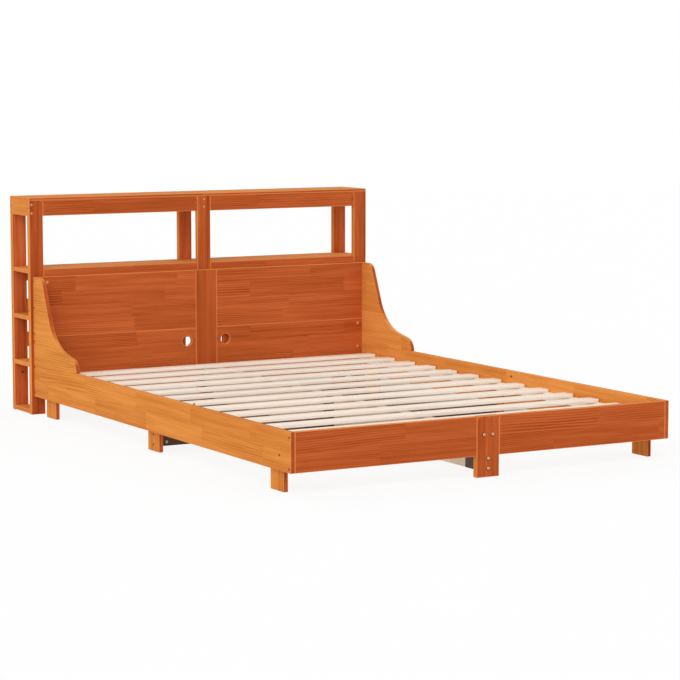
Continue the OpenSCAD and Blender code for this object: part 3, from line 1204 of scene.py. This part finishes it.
@dataclass
class Studio:
    """Floor, soft light, white surroundings and the camera.

    Attributes:
        floor_size: Side of the floor, in metres.
        glow: How far the floor is lifted to the white of the background.
        shade: Where the floor in the bed's shadow isn't lifted and takes a painted shadow: along
            X and
        then along Y, the two places between which that begins and the two between which it ends.
        under: The part of it under the bed, given in the same way.
        depths: How deep the painted shadow is beside the bed and under it.
        ambient: Strength of the light from all round.
        sun: Strength of the wide lamp from the left, the foot and above.
        sun_width: Apparent width of that lamp, in degrees.
        sun_from: Direction that its light comes from.
        camera_place: Place of the camera, in metres.
        camera_pitch: How far the camera looks down, in degrees.
        camera_turn: How far the camera is turned to the right, in degrees.
        lens: Focal length on a 36 mm sensor, in millimetres.
    """

    floor_size: float = 30.0
    glow: float = 0.86
    shade: tuple[tuple[float, ...], ...] = ((-0.42, -0.1, 0.9, 1.14), (-0.55, -0.15, 1.2, 1.65))
    under: tuple[tuple[float, ...], ...] = ((-0.42, -0.1, 0.7, 0.95), (-0.55, -0.15, 1.0, 1.3))
    depths: tuple[float, float] = (0.6, 0.88)
    ambient: float = 0.82
    sun: float = 1.0
    sun_width: float = 40.0
    sun_from: tuple[float, float, float] = (-1.0, -1.0, 1.0)
    camera_place: tuple[float, float, float] = (-4.2149, -7.5357, 1.3067)
    camera_pitch: float = 6.4142
    camera_turn: float = 29.7137
    lens: float = 127.41

    @staticmethod
    def _range(place: Wire, ends: tuple[float, ...]) -> Wire:
        """Give 1 in a range with soft ends and 0 outside it.

        Args:
            place: The place.
            ends: Where the range starts, is full, is last full and ends.

        Returns:
            The mask.
        """
        start, full, least, end = ends
        return place.step(start, full) * place.step(end, least)

    def _floor(self) -> None:
        """Make the floor, white to the camera but for a faint shadow, with a painted dark shadow
        beside and under the bed.
        """
        floor = Bench.solid(bpy.ops.mesh.primitive_plane_add, size=self.floor_size)
        floor.name = "studio_floor"
        graph = Graph(bpy.data.materials.new("studio_floor"))
        point = graph.add("ShaderNodeTexCoord", output="Object")
        mottle = graph.noise(point, 3.0, 3.0)
        pale = graph.mix(mottle, rgb(247, 247, 246), rgb(252, 252, 252))
        matt = graph.add("ShaderNodeBsdfPrincipled", {}, {"Base Color": pale, "Roughness": 0.9})
        glow = graph.add("ShaderNodeEmission", {}, {"Color": (1, 1, 1, 1)})
        seen = graph.seen()
        # Painted shadow: a dark glow that camera and reflection rays see on the floor beside and
        # under the bed.
        painted_shadow = graph.add("ShaderNodeEmission", {}, {"Color": rgb(84, 66, 46)})
        x, y, _ = graph.split(point)
        beside = self._range(x, self.shade[0]) * self._range(y, self.shade[1])
        under = self._range(x, self.under[0]) * self._range(y, self.under[1])
        lift = seen * self.glow * (1.0 - beside)
        mixed = graph.add("ShaderNodeMixShader", {}, {0: lift, 1: matt, 2: glow})
        painted_shadow_share = seen * (beside * self.depths[0]).high(under * self.depths[1])
        mixed = graph.add("ShaderNodeMixShader", {}, {0: painted_shadow_share, 1: mixed, 2: painted_shadow})
        graph.node("ShaderNodeOutputMaterial", {}, {"Surface": mixed})
        Bench.paint(floor, graph.owner)

    def _world(self) -> None:
        """Light from all round, which the camera and reflections see as white."""
        world = bpy.data.worlds.new("studio")
        bpy.context.scene.world = world
        graph = Graph(world)
        white = (1, 1, 1, 1)
        even = graph.add("ShaderNodeBackground", {}, {"Color": white, "Strength": self.ambient})
        plain = graph.add("ShaderNodeBackground", {}, {"Color": white})
        mixed = graph.add("ShaderNodeMixShader", {}, {0: graph.seen(), 1: even, 2: plain})
        graph.node("ShaderNodeOutputWorld", {}, {"Surface": mixed})

    def _lamp(self) -> None:
        """Hang the wide lamp, which lights every piece at the same level."""
        lamp = bpy.data.lights.new("wide_lamp", "SUN")
        lamp.energy = self.sun
        lamp.angle = math.radians(self.sun_width)
        light = Bench.new("wide_lamp", lamp)
        light.rotation_euler = Vector(self.sun_from).to_track_quat("Z", "Y").to_euler()

    def _camera(self) -> None:
        """Set up the camera at the photograph's viewing angle."""
        lens = bpy.data.cameras.new("camera")
        lens.lens = self.lens
        lens.clip_start, lens.clip_end = 0.1, 100.0
        camera = Bench.new("camera", lens)
        camera.location = self.camera_place
        camera.rotation_euler = (math.radians(90 - self.camera_pitch), 0.0,
                                 math.radians(-self.camera_turn))
        bpy.context.scene.camera = camera

    def build(self) -> None:
        """Set up the studio."""
        self._floor()
        self._world()
        self._lamp()
        self._camera()
        bpy.context.scene.view_settings.view_transform = "Standard"
        log.info("studio")


def cable_holes(record: dict[str, Any]) -> list[Hole]:
    """Read the cable holes from the record's mounts.

    Args:
        record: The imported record.

    Returns:
        The holes.
    """
    bores = [mount for mount in record["mounts"] if mount["kind"] == "bore"]
    return [Hole(bore["pos_m"][0], bore["pos_m"][2], bore["dims"]["r_mm"] * MM)
            for bore in bores]


def main() -> None:
    """Build the sub-assemblies in order, then the studio."""
    logging.basicConfig(level=logging.INFO, format="%(message)s")
    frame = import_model()
    joiner = Joiner()
    BedSides().build(joiner)
    SlatDeck().build(joiner)
    Headboard().build(joiner, cable_holes(frame["record"]))
    Bookcase().build(joiner)
    SteelFittings().build()
    DomeBolts().build()
    WoodScrews().build()
    Studio().build()


if __name__ == "__main__":
    main()
